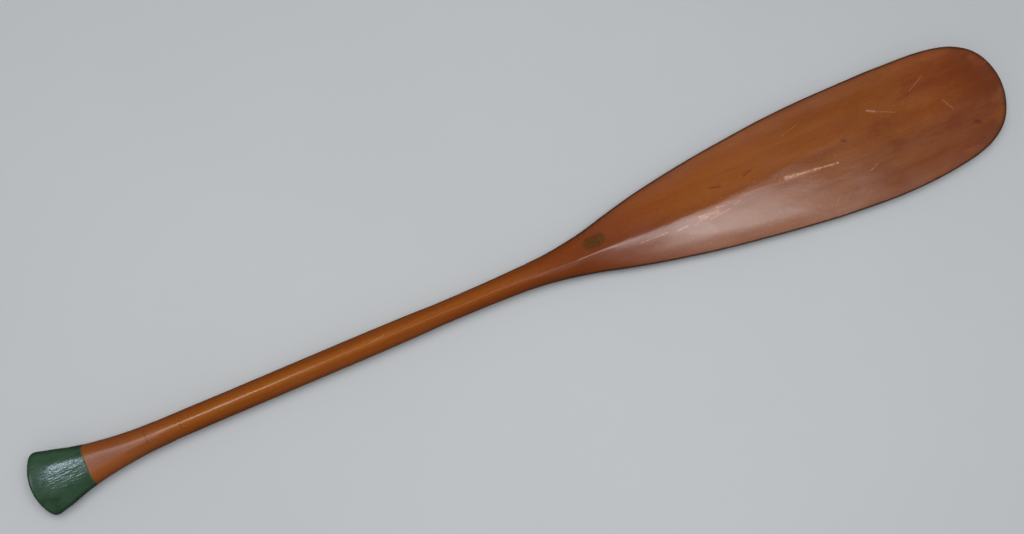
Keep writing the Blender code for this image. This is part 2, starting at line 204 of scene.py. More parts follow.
def outline(x, sign, off=0.0):
    """Outline's y at stations x (array) on the left (+1) or right (-1) side."""
    x = np.atleast_1d(np.asarray(x, float))
    middle, wide = middle_y(x), half_width(x)
    high = np.minimum(x + SLOPE_STEP, TIP_X)
    slope = (half_width(high) - half_width(x - SLOPE_STEP)) / (high - x + SLOPE_STEP)
    y = middle + sign * (wide + off * np.sqrt(1 + np.where(x < CURVED_X, slope, 0.0) ** 2))
    grip = x <= GRIP_X
    if grip.any():
        grip_x = x[grip]
        near = np.full(grip_x.shape, GRIP_ARC_Y)
        far = middle[grip] + sign * (wide[grip] + 5 + abs(off))
        for _ in range(30):
            halfway = (near + far) / 2
            inside = inset(grip_x, halfway, off) > 0
            near = np.where(inside, halfway, near)
            far = np.where(inside, far, halfway)
        y[grip] = near
    return y


known_rims = {}


def rim(x, sign, off=0.0):
    """The outline at one station, kept once worked out."""
    key = (float(x), sign, float(off))
    if key not in known_rims:
        known_rims[key] = float(outline(x, sign, off)[0])
    return known_rims[key]


def prepare_rims(xs, offs):
    """Works out many stations at once."""
    xs, offs = np.asarray(xs, float), np.asarray(offs, float)
    for off in np.unique(offs):
        chosen = xs[offs == off]
        for sign in (1, -1):
            for x, y in zip(chosen, outline(chosen, sign, off)):
                known_rims[(float(x), sign, float(off))] = float(y)


def wander(x, y):
    """Slow unevenness of a surface shaped by hand: four waves of a few hundredths of a
    millimetre, each with its own lengths along x and y."""
    return (
        0.040 * np.sin(x / 31.0 + 1.3 + 0.6 * np.sin(y / 23.0))
        + 0.030 * np.sin(x / 17.5 - y / 19.0 + 0.4)
        + 0.022 * np.sin(x / 9.7 + y / 12.0 + 2.1 * np.sin(x / 87.0))
        + 0.028 * np.sin(y / 8.3 + 1.7 * np.sin(x / 63.0))
    )


def handle_depth(x, y, off, rim_inset):
    """Shaft and grip: an oval, closed by a rounding at the grip's end."""
    slope = half_width(np.minimum(x + SLOPE_STEP, TIP_X)) - half_width(x - SLOPE_STEP)
    slope = slope / (2 * SLOPE_STEP)
    full = half_width(x) / np.sqrt(1 + slope * slope) + off
    across = 1 - np.clip(side_inset(x, y, off) / full, 0, 1)
    # the oval grows a little fuller towards the end of the grip
    power = 0.5 - 0.08 * smooth(-560, -680, x)
    oval = (half_thick(x) + off) * np.maximum(1 - across ** 2, 0) ** power
    grip = oval * rounded(end_inset(x, y, off), GRIP_ROUND + off)
    corner = 1 - rounded(rim_inset, CORNER_ROUND + off)
    grip = grip * (1 - corner * smooth(-640, -680, x))
    return np.where(x < GRIP_X, grip, oval)


def blade_depth(x, y, off, rim_inset):
    """Throat and blade: an oval that turns into a ridge with two flanks and a thin edge."""
    wide, middle, thick = half_width(x), middle_y(x), half_thick(x) + off
    turned = smooth(10, 110, x)
    ridge = ridge_y(x)
    land = (STEM_HALF + LAND_EXTRA) * smooth(*LAND_GROWTH, x)
    reach = np.where(y >= ridge, middle + wide - ridge, ridge - (middle - wide))
    blunt = 0.8 + 3.0 * smooth(110, 170, x)               # the ridge is worn round
    away = np.sqrt((y - ridge) ** 2 + blunt ** 2) - blunt
    part = np.clip((away - land) / np.maximum(reach - land, 1e-6), 0, 1)
    top = middle + (ridge - middle) * smooth(0, 90, x)
    span = np.where(y >= top, middle + wide - top, top - (middle - wide))
    oval = thick * np.sqrt(np.maximum(1 - np.clip(np.abs(y - top) / span, 0, 1) ** 2, 0))
    # a flank mixes an arched section with a straight one, hollowed along mid-blade
    crease = 0.3 + 0.2 * smooth(40, 130, x) + 0.2 * smooth(130, 240, x)
    hollow = 1 + 0.25 * smooth(180, 260, x) * (1 - smooth(330, 450, x))
    straight = (1 - part ** (1 + smooth(450, 520, x))) ** hollow
    flank = (1 - crease) * np.sqrt(1 - part ** 2) + crease * straight
    flank = BLADE_EDGE + (thick - BLADE_EDGE) * flank
    return oval * (1 - turned) + flank * rounded(rim_inset, BLADE_EDGE) * turned


def half_depth(x, y, off=0.0, front=True):
    """Half thickness at points of a face (arrays of one shape)."""
    rim_inset = np.maximum(inset(x, y, off), 0.0)
    depth = np.where(x < BLADE_X, handle_depth(x, y, off, rim_inset),
                     blade_depth(x, y, off, rim_inset))
    # planed flats on both faces, their borders worn soft around the grip and the throat
    cap = LIE_Z + off
    sharp = 9.0 - 7.6 * (smooth(-500, -580, x) + smooth(-70, 10, x) * smooth(120, 70, x))
    depth = np.where(depth > 0, cap - np.logaddexp(0.0, (cap - depth) * sharp) / sharp, depth)
    depth = np.maximum(depth, 0.0)
    # the unevenness fades out at the rim and is weaker on the flats
    fade = np.clip(rim_inset / 4.0, 0, 1) * np.clip((cap + 0.5 - depth) / 1.0, 0.3, 1)
    wave = wander(x, y) if front else wander(x + 410.0, 37.0 - y)
    return np.maximum(depth + wave * fade, 0.0)


# ------------------------------------------------------------------ where the axis lies
blade_x = np.linspace(300, 640, 2000)
blade_mid_y = (outline(blade_x, 1).max() + outline(blade_x, -1).min()) / 2
cad_low, cad_high = Vector(cad_box[0]), Vector(cad_box[1])
AXIS = np.array([
    (cad_low[0] + cad_high[0]) / 2 + AXIS_SHIFT_X * MM,
    (cad_low[1] + cad_high[1]) / 2 - blade_mid_y * MM,
    (cad_low[2] + cad_high[2]) / 2,
])


# ------------------------------------------------------------------ stations
def steps_between(start, end, gap):
    return np.linspace(start, end, max(2, int(round((end - start) / gap)) + 1))


def root_steps(depth, count, first=0.012):
    """Distances from an end, closing in on it like a square root."""
    return np.unique(np.concatenate([[first], depth * (np.linspace(0, 1, count)[1:]) ** 2]))


END_DEPTH = 44.0
end_steps = root_steps(END_DEPTH, 34)
tip_steps = root_steps(60.0, 40)
# from, to, gap
MIDDLE_RUNS = [
    (END_X + END_DEPTH, GRIP_X, 1.6), (GRIP_X, -480, 3.0), (-480, 0, 5.0), (0, 240, 2.0),
    (240, LAND_X[0], 3.0), (LAND_X[0], LAND_X[1], 4.0),
]
all_x = np.concatenate([
    END_X + end_steps, *(steps_between(*run)[1:] for run in MIDDLE_RUNS),
    (TIP_X - tip_steps)[::-1],
])
all_x = np.unique(np.round(all_x, 5))


def station_at(sign, thin, wide, value, off=0.0):
    """The station between thin and wide where the outline's half reaches a value."""
    for _ in range(26):
        halfway = (thin + wide) / 2
        if sign * outline(halfway, sign, off)[0] < value:
            thin = halfway
        else:
            wide = halfway
    return wide


# ------------------------------------------------------------------ mesh making
def to_frame(x, y, z):
    return np.stack([x, y, z], -1) * MM + AXIS


def without_repeats(loop):
    return [vertex for k, vertex in enumerate(loop) if vertex != loop[k - 1]]


def closed_loft(rings, fields):
    """A capped skin over rings of (n, 3) points; fields: {name: list of (n,) arrays}."""
    size, count = len(rings[0]), len(rings)
    points = np.concatenate(rings)
    # points closer than a few micrometres become one
    key = np.round(points / 4e-6).astype(np.int64)
    _, first, merged = np.unique(key, axis=0, return_index=True, return_inverse=True)
    merged = merged.reshape(-1)
    i = np.arange(size)
    j = (i + 1) % size
    row = np.arange(count - 1)[:, None] * size
    quads = np.stack([row + i, row + j, row + size + j, row + size + i], -1).reshape(-1, 4)
    quads = merged[quads]
    faces = []
    for quad in quads.tolist():
        face = without_repeats(quad)
        if len(set(face)) == len(face) and len(face) > 2:
            faces.append(face)
    for cap in (merged[i][::-1], merged[(count - 1) * size + i]):
        faces.append(without_repeats(cap.tolist()))
    points = points[first]
    corner0, corner1, corner2, corner3 = (points[quads[:, k]] for k in range(4))
    volume = ((np.cross(corner0, corner1) * corner2).sum()
              + (np.cross(corner0, corner2) * corner3).sum())
    if volume < 0:
        faces = [face[::-1] for face in faces]
    mesh = bpy.data.meshes.new("loft")
    mesh.from_pydata(points.tolist(), [], faces)
    mesh.validate()
    for name, values in fields.items():
        layer = mesh.attributes.new(name, "FLOAT", "POINT")
        layer.data.foreach_set("value", np.concatenate(values)[first].astype(np.float32))
    return mesh


def section_ring(x, ys, off):
    """One ring over the front and back along the row ys, and each point's rim inset."""
    xs = np.full(ys.shape, x)
    front = to_frame(xs, ys, half_depth(xs, ys, off, True))
    back = to_frame(xs, ys, -half_depth(xs, ys, off, False))[::-1]
    depth = np.clip(inset(xs, ys, off), 0, 200) * MM
    return np.concatenate([front, back]), np.concatenate([depth, depth[::-1]])


def loft_piece(stations, ys_of, off_of=lambda x: 0.0):
    """A wooden piece; its side field is 1 on the front and -1 on the back."""
    rings, depths, sides = [], [], []
    prepare_rims(stations, [off_of(x) for x in stations])
    for x in stations:
        off = off_of(x)
        ys = ys_of(x, off)
        ring, depth = section_ring(x, ys, off)
        rings.append(ring)
        depths.append(depth)
        sides.append(np.concatenate([np.ones_like(ys), -np.ones_like(ys)]))
    return closed_loft(rings, {"rim": depths, "side": sides})


def stem_ys(x, off, count=44):
    """Rows of the middle piece: closer at its sides on the shaft, even on the blade."""
    left = min(rim(x, 1, off), STEM_HALF)
    right = max(rim(x, -1, off), -STEM_HALF)
    middle = min(max(float(ridge_y(x)), right + 0.3 * (left - right)), left)
    half = count // 2
    even = middle + np.concatenate([
        (left - middle) * np.linspace(1, 0, half + 1)[:-1],
        (right - middle) * np.linspace(0, 1, half + 1),
    ])
    arc = np.concatenate([
        middle + (left - middle) * np.cos(np.pi / 2 * np.arange(half) / half),
        middle + (right - middle) * np.sin(np.pi / 2 * np.arange(half + 1) / half),
    ])
    share = float(smooth(40, 120, x)) * (1 - float(smooth(690, 698, x)))
    return arc * (1 - share) + even * share


def edge_ys(sign, zone, near, rest):
    """Rows of a side piece: near rows within a zone at the rim, then rest rows inward."""
    plane = sign * (STEM_HALF + PIECE_GAP)

    def ys_of(x, off):
        edge = rim(x, sign, off)
        width = abs(edge - plane)
        bent = min(zone, 0.5 * width)
        outer = bent * (1 - np.cos(np.linspace(0, np.pi / 2, near + 1)))[:-1]
        inner = bent + (width - bent) * np.linspace(0, 1, rest + 1) ** 1.15
        return edge - sign * np.concatenate([outer, inner])

    return ys_of


# ------------------------------------------------------------------ node helpers
FALLING = (1.0, 0.0)


class Graph:
    """Short names for building a node tree."""

    def __init__(self, tree):
        self.tree = tree

    def feed(self, target, inputs):
        """Sets or links a node's sockets, given by name or number."""
        for socket, value in inputs.items():
            if isinstance(value, bpy.types.NodeSocket):
                self.tree.links.new(value, target.inputs[socket])
            elif value is not None:
                target.inputs[socket].default_value = value

    def node(self, kind, inputs={}, **settings):
        made = self.tree.nodes.new("ShaderNode" + kind)
        for name, value in settings.items():
            setattr(made, name, value)
        self.feed(made, inputs)
        return made

    def math(self, operation, *values, clamp=False):
        inputs = dict(enumerate(values))
        return self.node("Math", inputs, operation=operation, use_clamp=clamp).outputs[0]

    def chain(self, operation, result, *others):
        for other in others:
            result = self.math(operation, result, other)
        return result

    def times(self, *values):
        return self.chain("MULTIPLY", *values)

    def plus(self, *values):
        return self.chain("ADD", *values)

    def most(self, *values):
        return self.chain("MAXIMUM", *values)

    def ease(self, value, over, to=(0.0, 1.0), kind="SMOOTHSTEP"):
        """Maps the range over onto the range to, held at both ends."""
        inputs = {"Value": value, "From Min": over[0], "From Max": over[1],
                  "To Min": to[0], "To Max": to[1]}
        return self.node("MapRange", inputs, interpolation_type=kind).outputs[0]

    def slope(self, value, over, to):
        return self.ease(value, over, to, "LINEAR")

    def band(self, value, rise, fall):
        """1 between two eased borders; fall is given from its outer end inward."""
        return self.times(self.ease(value, over=rise), self.ease(value, over=fall))

    def vector(self, operation, *values):
        outputs = self.node("VectorMath", dict(enumerate(values)), operation=operation).outputs
        is_number = operation in ("LENGTH", "DOT_PRODUCT", "DISTANCE")
        return outputs["Value"] if is_number else outputs[0]

    def split(self, vector):
        return self.node("SeparateXYZ", {0: vector}).outputs

    def mapping(self, vector, stretch=(1, 1, 1), shift=(0, 0, 0), turn=(0, 0, 0)):
        inputs = {"Vector": vector, "Scale": stretch, "Location": shift, "Rotation": turn}
        return self.node("Mapping", inputs).outputs[0]

    def noise(self, place, stretch, detail=3.0, rough=0.6, output=0, **moved):
        """Noise whose fineness along each axis is the stretch (per metre)."""
        inputs = {"Vector": self.mapping(place, stretch, **moved), "Scale": 1.0,
                  "Detail": detail, "Roughness": rough}
        return self.node("TexNoise", inputs).outputs[output]

    def mix(self, share, under, over, blend="MIX"):
        under, over = (
            colour if isinstance(colour, bpy.types.NodeSocket) else (*colour, 1.0)
            for colour in (under, over))
        return self.node("Mix", {0: share, 6: under, 7: over},
                         data_type="RGBA", blend_type=blend).outputs[2]

    def ramp(self, value, stops):
        """An eased colour ramp through (position, linear colour) stops."""
        made = self.node("ValToRGB", {0: value})
        made.color_ramp.interpolation = "EASE"
        elements = made.color_ramp.elements
        while len(elements) > 1:
            elements.remove(elements[-1])
        elements[0].position = stops[0][0]
        elements[0].color = (*stops[0][1], 1)
        for position, colour in stops[1:]:
            elements.new(position).color = (*colour, 1)
        return made.outputs[0]

    def bump(self, height, strength, distance, normal=None):
        inputs = {"Strength": strength, "Distance": distance, "Height": height,
                  "Normal": normal}
        return self.node("Bump", inputs).outputs[0]

    def stroke(self, place, start, end, radius, core):
        """1 on the short line start-end (x, y), falling to 0 from core * radius to radius."""
        start, end = Vector((*start, 0)), Vector((*end, 0))
        line = end - start
        offset = self.vector("SUBTRACT", place, tuple(start))
        along = self.vector("DOT_PRODUCT", offset, tuple(line))
        part = self.math("DIVIDE", along, line.length_squared, clamp=True)
        foot = self.node("VectorMath", {0: tuple(line), "Scale": part}, operation="SCALE")
        distance = self.vector("DISTANCE", offset, foot.outputs[0])
        return self.ease(distance, over=(radius * core, radius), to=FALLING)

    def strokes(self, place, rows, core):
        """The most of many strokes; each row may end with a strength."""
        return self.most(*(
            self.times(self.stroke(place, (x0, y0), (x1, y1), radius, core), *strength)
            for x0, y0, x1, y1, radius, *strength in rows))


def srgb(*channels):
    """A colour given as display values 0-255, made linear."""
    def linear(value):
        value /= 255.0
        return value / 12.92 if value <= 0.04045 else ((value + 0.055) / 1.055) ** 2.4
    return tuple(linear(value) for value in channels)


class Surface(Graph):
    """A material on one Principled shader.  colour is the base colour so far, and place is
    the position in metres from the origin, if one is given."""

    def __init__(self, name, origin=None):
        self.material = bpy.data.materials.new(name)
        self.material.use_nodes = True
        super().__init__(self.material.node_tree)
        self.tree.nodes.clear()
        output = self.node("OutputMaterial")
        self.shader = self.node("BsdfPrincipled")
        self.feed(output, {0: self.shader.outputs[0]})
        self.place = self.node("TexCoord").outputs["Object"]
        if origin is not None:
            self.place = self.mapping(self.place, shift=tuple(-origin))
            self.x, self.y, self.z = self.split(self.place)

    def rim_depth(self):
        """Metres inward from the outline, as stored on the mesh."""
        return self.node("Attribute", attribute_name="rim").outputs["Fac"]

    def paint(self, display, where, share=None):
        """Lays a display colour over the base, by a mask and a share of it."""
        mask = where if share is None else self.times(where, share)
        self.colour = self.mix(mask, self.colour, srgb(*display))

    def finish(self, inputs):
        self.feed(self.shader, {"Base Color": self.colour, **inputs})
        return self.material


# ------------------------------------------------------------------ varnished wood
# pale scratches, flecks and scuffs on the front, and painted highlight lines along the ridge
# and the flat's shoulder: from x, y to x, y, radius (metres), strength
SCRATCHES_AND_HIGHLIGHTS = [
    # painted highlight lines along the ridge of the throat
    (0.0270, -0.0030, 0.0900, -0.0053, 0.0012, 0.14),
    (0.0880, -0.0052, 0.1650, -0.0060, 0.0013, 0.26),
    # scratches and flecks
    (0.1735, -0.0172, 0.2122, -0.0181, 0.0010, 0.8),
    (0.2255, -0.0213, 0.2402, -0.0205, 0.0015, 0.9),
    (0.2480, -0.0240, 0.2600, -0.0205, 0.0009, 0.7),
    (0.2580, -0.0150, 0.2760, -0.0172, 0.0012, 0.8),
    (0.2650, -0.0210, 0.2860, -0.0165, 0.0012, 0.9),
    (0.2720, -0.0240, 0.3010, -0.0215, 0.0014, 0.9),
    (0.2850, -0.0130, 0.2960, -0.0150, 0.0011, 0.9),
    (0.3080, -0.0180, 0.3180, -0.0160, 0.0010, 0.6),
    # painted highlight along the shoulder of the flat
    (0.3850, -0.0124, 0.4020, -0.0150, 0.0034, 1.0),
    (0.4020, -0.0150, 0.4280, -0.0176, 0.0021, 0.95),
    (0.4280, -0.0176, 0.4575, -0.0214, 0.0016, 0.85),
    (0.3850, -0.0128, 0.4300, -0.0185, 0.0052, 0.25),
    # scratches, flecks and scuffs
    (0.2600, -0.0170, 0.2680, -0.0195, 0.0030, 0.75),
    (0.2780, -0.0180, 0.2860, -0.0195, 0.0028, 0.7),
    (0.5195, 0.0280, 0.5290, 0.0225, 0.0020, 0.5),
    (0.5290, 0.0225, 0.5540, 0.0110, 0.0009, 0.3),
    (0.6180, 0.0020, 0.6265, -0.0140, 0.0010, 0.35),
    (0.4930, -0.0480, 0.5060, -0.0430, 0.0008, 0.5),
    (0.4020, 0.0410, 0.4260, 0.0470, 0.0007, 0.3),
    (0.5820, 0.0300, 0.6050, 0.0420, 0.0009, 0.3),
    (-0.2100, 0.0020, -0.1880, 0.0035, 0.0006, 0.5),
]
# dark knocks on the front: from x, y to x, y, radius (metres)
KNOCKS = [
    (0.4740, 0.0040, 0.4780, 0.0020, 0.0034),
    (0.2880, 0.0140, 0.3000, 0.0110, 0.0026),
    (0.3340, 0.0120, 0.3460, 0.0150, 0.0024),
    (-0.5310, 0.0115, -0.5300, -0.0060, 0.0015),
    (-0.4820, 0.0060, -0.4810, -0.0050, 0.0010),
    (0.6480, -0.0420, 0.6520, -0.0440, 0.0045),
]


def tint_blade(wood):
    """Slow changes of colour over the throat and the blade."""
    x, y = wood.x, wood.y
    # redder at the throat and near the tip
    throat = wood.times(wood.ease(x, over=(-0.06, 0.05)),
                        wood.ease(x, over=(0.15, 0.32), to=FALLING))
    red = wood.most(throat, wood.ease(x, over=(0.52, 0.69)))
    wood.paint((118, 48, 18), where=red, share=0.55)
    # golden left flank
    gold = wood.times(wood.band(x, rise=(0.12, 0.22), fall=(0.58, 0.44)),
                      wood.ease(y, over=(-0.006, 0.012)), wood.ease(y, over=(0.062, 0.034)))
    wood.paint((172, 96, 24), where=gold, share=0.26)
    # greyer on the right of the outer blade, darker at the tip
    right = wood.times(wood.ease(y, over=(0.005, -0.03)), wood.ease(x, over=(0.42, 0.56)))
    wood.paint((128, 82, 60), where=right, share=0.32)
    wood.paint((84, 38, 24), where=wood.ease(x, over=(0.60, 0.71)), share=0.50)
    # weathered patches on the outer half
    outer = wood.ease(x, over=(0.42, 0.56))
    blotch = wood.noise(wood.place, (11, 26, 26))
    for display, over, share in (((112, 38, 18), (0.50, 0.64), 0.46),
                                 ((158, 88, 34), (0.46, 0.34), 0.36)):
        wood.paint(display, where=wood.ease(blotch, over=over), share=wood.times(outer, share))
    dull = wood.band(x, rise=(0.33, 0.43), fall=(0.62, 0.53))
    wood.paint((84, 54, 36), where=dull, share=0.12)


def shaft_tone_and_painted_light(wood, rim_in):
    """The shaft's tone, with painted light: a painted highlight along the middle of its faces,
    painted shade at its sides, and painted light at the neck and on its right side.
    """
    x, y = wood.x, wood.y
    shaft = wood.times(wood.ease(x, over=(-0.60, -0.50)),
                       wood.ease(x, over=(-0.04, 0.10), to=FALLING))
    from_middle = wood.math("ABSOLUTE", wood.plus(y, -0.0015))
    # painted highlight: the middle of each face is painted paler, where the overhead light
    # falls most
    middle = wood.times(wood.ease(from_middle, over=(0.0010, 0.0085), to=FALLING),
                        wood.ease(x, over=(-0.24, -0.08), to=(0.62, 0.22)))
    wood.paint((186, 92, 22), where=shaft, share=0.18)
    wood.paint((178, 104, 26), where=middle, share=shaft)
    # painted light: the neck beside the grip is painted lighter
    wood.paint((168, 92, 38), where=wood.ease(x, over=(-0.44, -0.56), to=(0.0, 0.46)))
    # painted shade: darker towards the sides of the round shaft
    side = wood.ease(rim_in, over=(0.0005, 0.0075), to=FALLING)
    wood.paint((78, 38, 12), where=side, share=wood.times(shaft, 0.12))
    # painted light: lighter and warmer on the right side, by the grip and at mid-shaft
    painted_light_right = wood.most(wood.ease(x, over=(-0.52, -0.58)),
                     wood.band(x, rise=(-0.42, -0.30), fall=(-0.06, -0.16)))
    painted_light_right = wood.times(painted_light_right, wood.ease(y, over=(-0.004, -0.010)))
    wood.paint((190, 104, 48), where=painted_light_right, share=0.28)


def edge_shade_and_chips(wood, rim_in, blade):
    """Along the outline, painted shade of the rounded edge together with darkened varnish,
    wider at the tip, with pale chips.
    """
    wobble = wood.noise(wood.place, (60, 60, 60))
    # in metres: 3.4 mm wide, and 2 mm more at the tip
    width = wood.math("MULTIPLY_ADD", wood.ease(wood.x, over=(0.60, 0.70)), 0.0020, 0.0034)
    width = wood.times(width, wood.ease(wobble, over=(0.3, 0.7), to=(0.85, 1.2)))
    part = wood.math("DIVIDE", rim_in, width)
    edge = wood.times(wood.ease(part, over=(0.45, 1.0), to=FALLING), blade)
    # painted shade of the rounded edge with darkened varnish: a dark line along the blade's
    # outline, then a broader darkening inward from the whole outline
    wood.paint((70, 40, 22), where=edge, share=0.78)
    wood.paint((84, 40, 14), where=wood.ease(rim_in, over=(0.0, 0.011), to=FALLING), share=0.32)
    chips = wood.noise(wood.place, (120, 120, 120), rough=0.65)
    chip = wood.times(wood.ease(chips, over=(0.62, 0.68)),
                      wood.ease(rim_in, over=(0.0, 0.0016), to=FALLING), blade)
    wood.paint((130, 92, 58), where=chip, share=0.4)


def mark_front(wood):
    """Scratches, flecks, knocks and painted highlight lines on the front; returns the mask of
    the pale ones, the painted highlights included.
    """
    flat = wood.mapping(wood.place, stretch=(1, 1, 0))
    front = wood.ease(wood.z, over=(-0.001, 0.0005))
    breakup = wood.noise(wood.place, (300, 500, 500))
    pale_marks_and_highlights = wood.times(wood.strokes(flat, SCRATCHES_AND_HIGHLIGHTS, core=0.2), front,
                       wood.ease(breakup, over=(0.38, 0.62), to=(0.35, 1.0)))
    # small flecks on the right flank
    right = wood.times(front, wood.ease(wood.y, over=(0.010, -0.010)))
    rubbed = wood.times(wood.band(wood.x, rise=(0.16, 0.26), fall=(0.50, 0.40)), right)
    fleck = wood.noise(wood.place, (330, 420, 420), detail=2.0, rough=0.5)
    fleck = wood.times(wood.ease(fleck, over=(0.63, 0.69)), wood.times(rubbed, 0.30))
    pale_marks_and_highlights = wood.most(pale_marks_and_highlights, fleck)
    # pale scratches and flecks, and painted highlight lines along the ridge and the flat's
    # shoulder
    wood.paint((214, 160, 132), where=pale_marks_and_highlights, share=0.78)
    dark = wood.times(wood.strokes(flat, KNOCKS, core=0.1), front,
                      wood.ease(breakup, over=(0.30, 0.60), to=(0.45, 1.0)))
    wood.paint((70, 30, 20), where=dark, share=0.62)
    return pale_marks_and_highlights


def coat_roughness(wood, rim_in, blade, pale_marks_and_highlights):
    """How dull the varnish is."""
    x = wood.x
    cloud = wood.noise(wood.place, (9, 26, 26), detail=4.0)
    set_down = wood.times(wood.band(x, rise=(0.15, 0.24), fall=(0.46, 0.36)),
                          wood.ease(wood.y, over=(-0.012, -0.030)))
    return wood.plus(
        wood.slope(cloud, over=(0.38, 0.70), to=(0.11, 0.20)),
        wood.times(pale_marks_and_highlights, 0.2),
        # duller along the blade's edges
        wood.times(wood.ease(rim_in, over=(0.004, 0.034), to=(0.11, 0.0)), blade),
        # and most of all along the right flank, the side that is set down
        wood.times(wood.ease(rim_in, over=(0.004, 0.056), to=(0.14, 0.0)), set_down),
        # dulled by the hand next to the grip
        wood.ease(x, over=(-0.46, -0.54), to=(0.0, 0.20)),
    )


def varnished_wood():
    wood = Surface("varnished_wood", AXIS)
    rim_in = wood.rim_depth()

    # slow figure of a flat-sawn board: long tongues along the paddle
    board = wood.mapping(wood.place)
    swirl = wood.noise(board, (2.2, 9, 9), rough=0.5, output=1)
    bent = wood.vector("MULTIPLY_ADD", swirl, (0.0, 0.030, 0.030), wood.mapping(board))
    rings = wood.noise(bent, (0.9, 60, 60), rough=0.5)
    broad = wood.noise(board, (6, 22, 22), rough=0.5)
    mottle = wood.noise(board, (16, 40, 40), detail=4.0)
    fibre = wood.noise(bent, (14, 900, 900), detail=5.0, rough=0.65)
    pores = wood.noise(bent, (60, 2200, 2200), detail=2.0, rough=0.5)
    wood.colour = wood.ramp(rings, [
        (0.28, srgb(124, 60, 14)), (0.46, srgb(137, 70, 17)),
        (0.60, srgb(143, 77, 22)), (0.76, srgb(131, 64, 15)),
    ])
    wood.paint((152, 84, 22), where=wood.ease(broad, over=(0.42, 0.70), to=(0.0, 0.55)))
    wood.paint((116, 52, 16), where=wood.ease(mottle, over=(0.50, 0.78), to=(0.0, 0.45)))
    tint_blade(wood)
    shaft_tone_and_painted_light(wood, rim_in)

    # fibres, specks and pores
    wood.paint((84, 34, 10), where=wood.ease(fibre, over=(0.30, 0.70), to=(0.18, 0.0)))
    speck = wood.noise(wood.place, (420, 620, 620), detail=4.0, rough=0.7)
    wood.paint((82, 36, 14), where=wood.ease(speck, over=(0.30, 0.66), to=(0.26, 0.0)))
    pore = wood.ease(pores, over=(0.30, 0.38), to=FALLING)
    wood.paint((60, 24, 10), where=pore, share=0.22)

    blade = wood.ease(wood.x, over=(0.02, 0.10))
    edge_shade_and_chips(wood, rim_in, blade)
    pale_marks_and_highlights = mark_front(wood)

    # fine random hairlines in the varnish, in patches
    cells = wood.mapping(wood.place, stretch=(26, 70, 70), turn=(0, 0, 0.5))
    crack = wood.node("TexVoronoi", {"Vector": cells, "Scale": 1.0},
                      feature="DISTANCE_TO_EDGE").outputs[0]
    patch = wood.noise(wood.place, (20, 24, 24), detail=2.0, rough=0.5)
    hair = wood.times(wood.ease(crack, over=(0.0, 0.012), to=FALLING),
                      wood.ease(patch, over=(0.52, 0.62)))

    height = wood.plus(wood.times(fibre, 0.55), wood.times(pore, -0.5),
                       wood.times(hair, -0.35))
    slow = wood.noise(wood.place, (24, 60, 60), rough=0.55)
    lumps = wood.noise(wood.place, (120, 300, 300))
    uneven = wood.bump(slow, strength=0.45, distance=0.0007)
    uneven = wood.bump(lumps, strength=0.15, distance=0.0002, normal=uneven)
    rough = wood.slope(mottle, over=(0.3, 0.75), to=(0.40, 0.52))
    return wood.finish({
        "Roughness": wood.math("ADD", rough, wood.times(pore, 0.12), clamp=True),
        "Specular IOR Level": 0.04,
        "Coat Weight": 0.9,
        "Coat IOR": 1.5,
        "Coat Roughness": coat_roughness(wood, rim_in, blade, pale_marks_and_highlights),
        "Normal": wood.bump(height, strength=0.30, distance=0.00012, normal=uneven),
        "Coat Normal": wood.bump(wood.plus(height, 0.0), strength=0.12, distance=0.00012,
                                 normal=uneven),
    })


# ------------------------------------------------------------------ green enamel
def green_enamel():
    enamel = Surface("green_enamel", AXIS)
    place = enamel.place
    streak = enamel.noise(place, (85, 330, 330), detail=2.0, rough=0.5, turn=(0, 0, -0.12))
    fine = enamel.noise(place, (30, 1300, 1300))
    cloud = enamel.noise(place, (38, 60, 60), detail=4.0)
    enamel.colour = enamel.ramp(cloud, [
        (0.30, srgb(43, 67, 49)), (0.52, srgb(53, 81, 58)), (0.75, srgb(63, 89, 65)),
    ])
    enamel.paint((66, 92, 70), where=enamel.ease(streak, over=(0.35, 0.70), to=(0.0, 0.35)))
    # rubbed near the rim, thin at the paint line, and painted shade right at the rounded rim
    rim_in = enamel.rim_depth()
    worn = enamel.noise(place, (150, 150, 150), detail=4.0, rough=0.65)
    rubbed = enamel.times(enamel.ease(worn, over=(0.58, 0.68)),
                          enamel.ease(rim_in, over=(0.0015, 0.0070), to=FALLING))
    enamel.paint((104, 116, 88), where=rubbed, share=0.25)
    enamel.paint((96, 104, 72),
                 where=enamel.ease(enamel.x, over=(-0.6195, -0.6165), to=(0.0, 0.30)))
    # painted shade where the rounded rim turns away
    enamel.paint((26, 42, 30), where=enamel.ease(rim_in, over=(0.0008, 0.0058), to=FALLING),
                 share=0.55)
    brushed = enamel.bump(streak, strength=0.5, distance=0.0005)
    brushed = enamel.bump(fine, strength=0.15, distance=0.0002, normal=brushed)
    return enamel.finish({
        "Roughness": enamel.slope(cloud, over=(0.3, 0.7), to=(0.20, 0.32)),
        "Specular IOR Level": 0.24,
        "Coat Weight": 0.55,
        "Coat Roughness": 0.13,
        "Normal": brushed,
        "Coat Normal": brushed,
    })


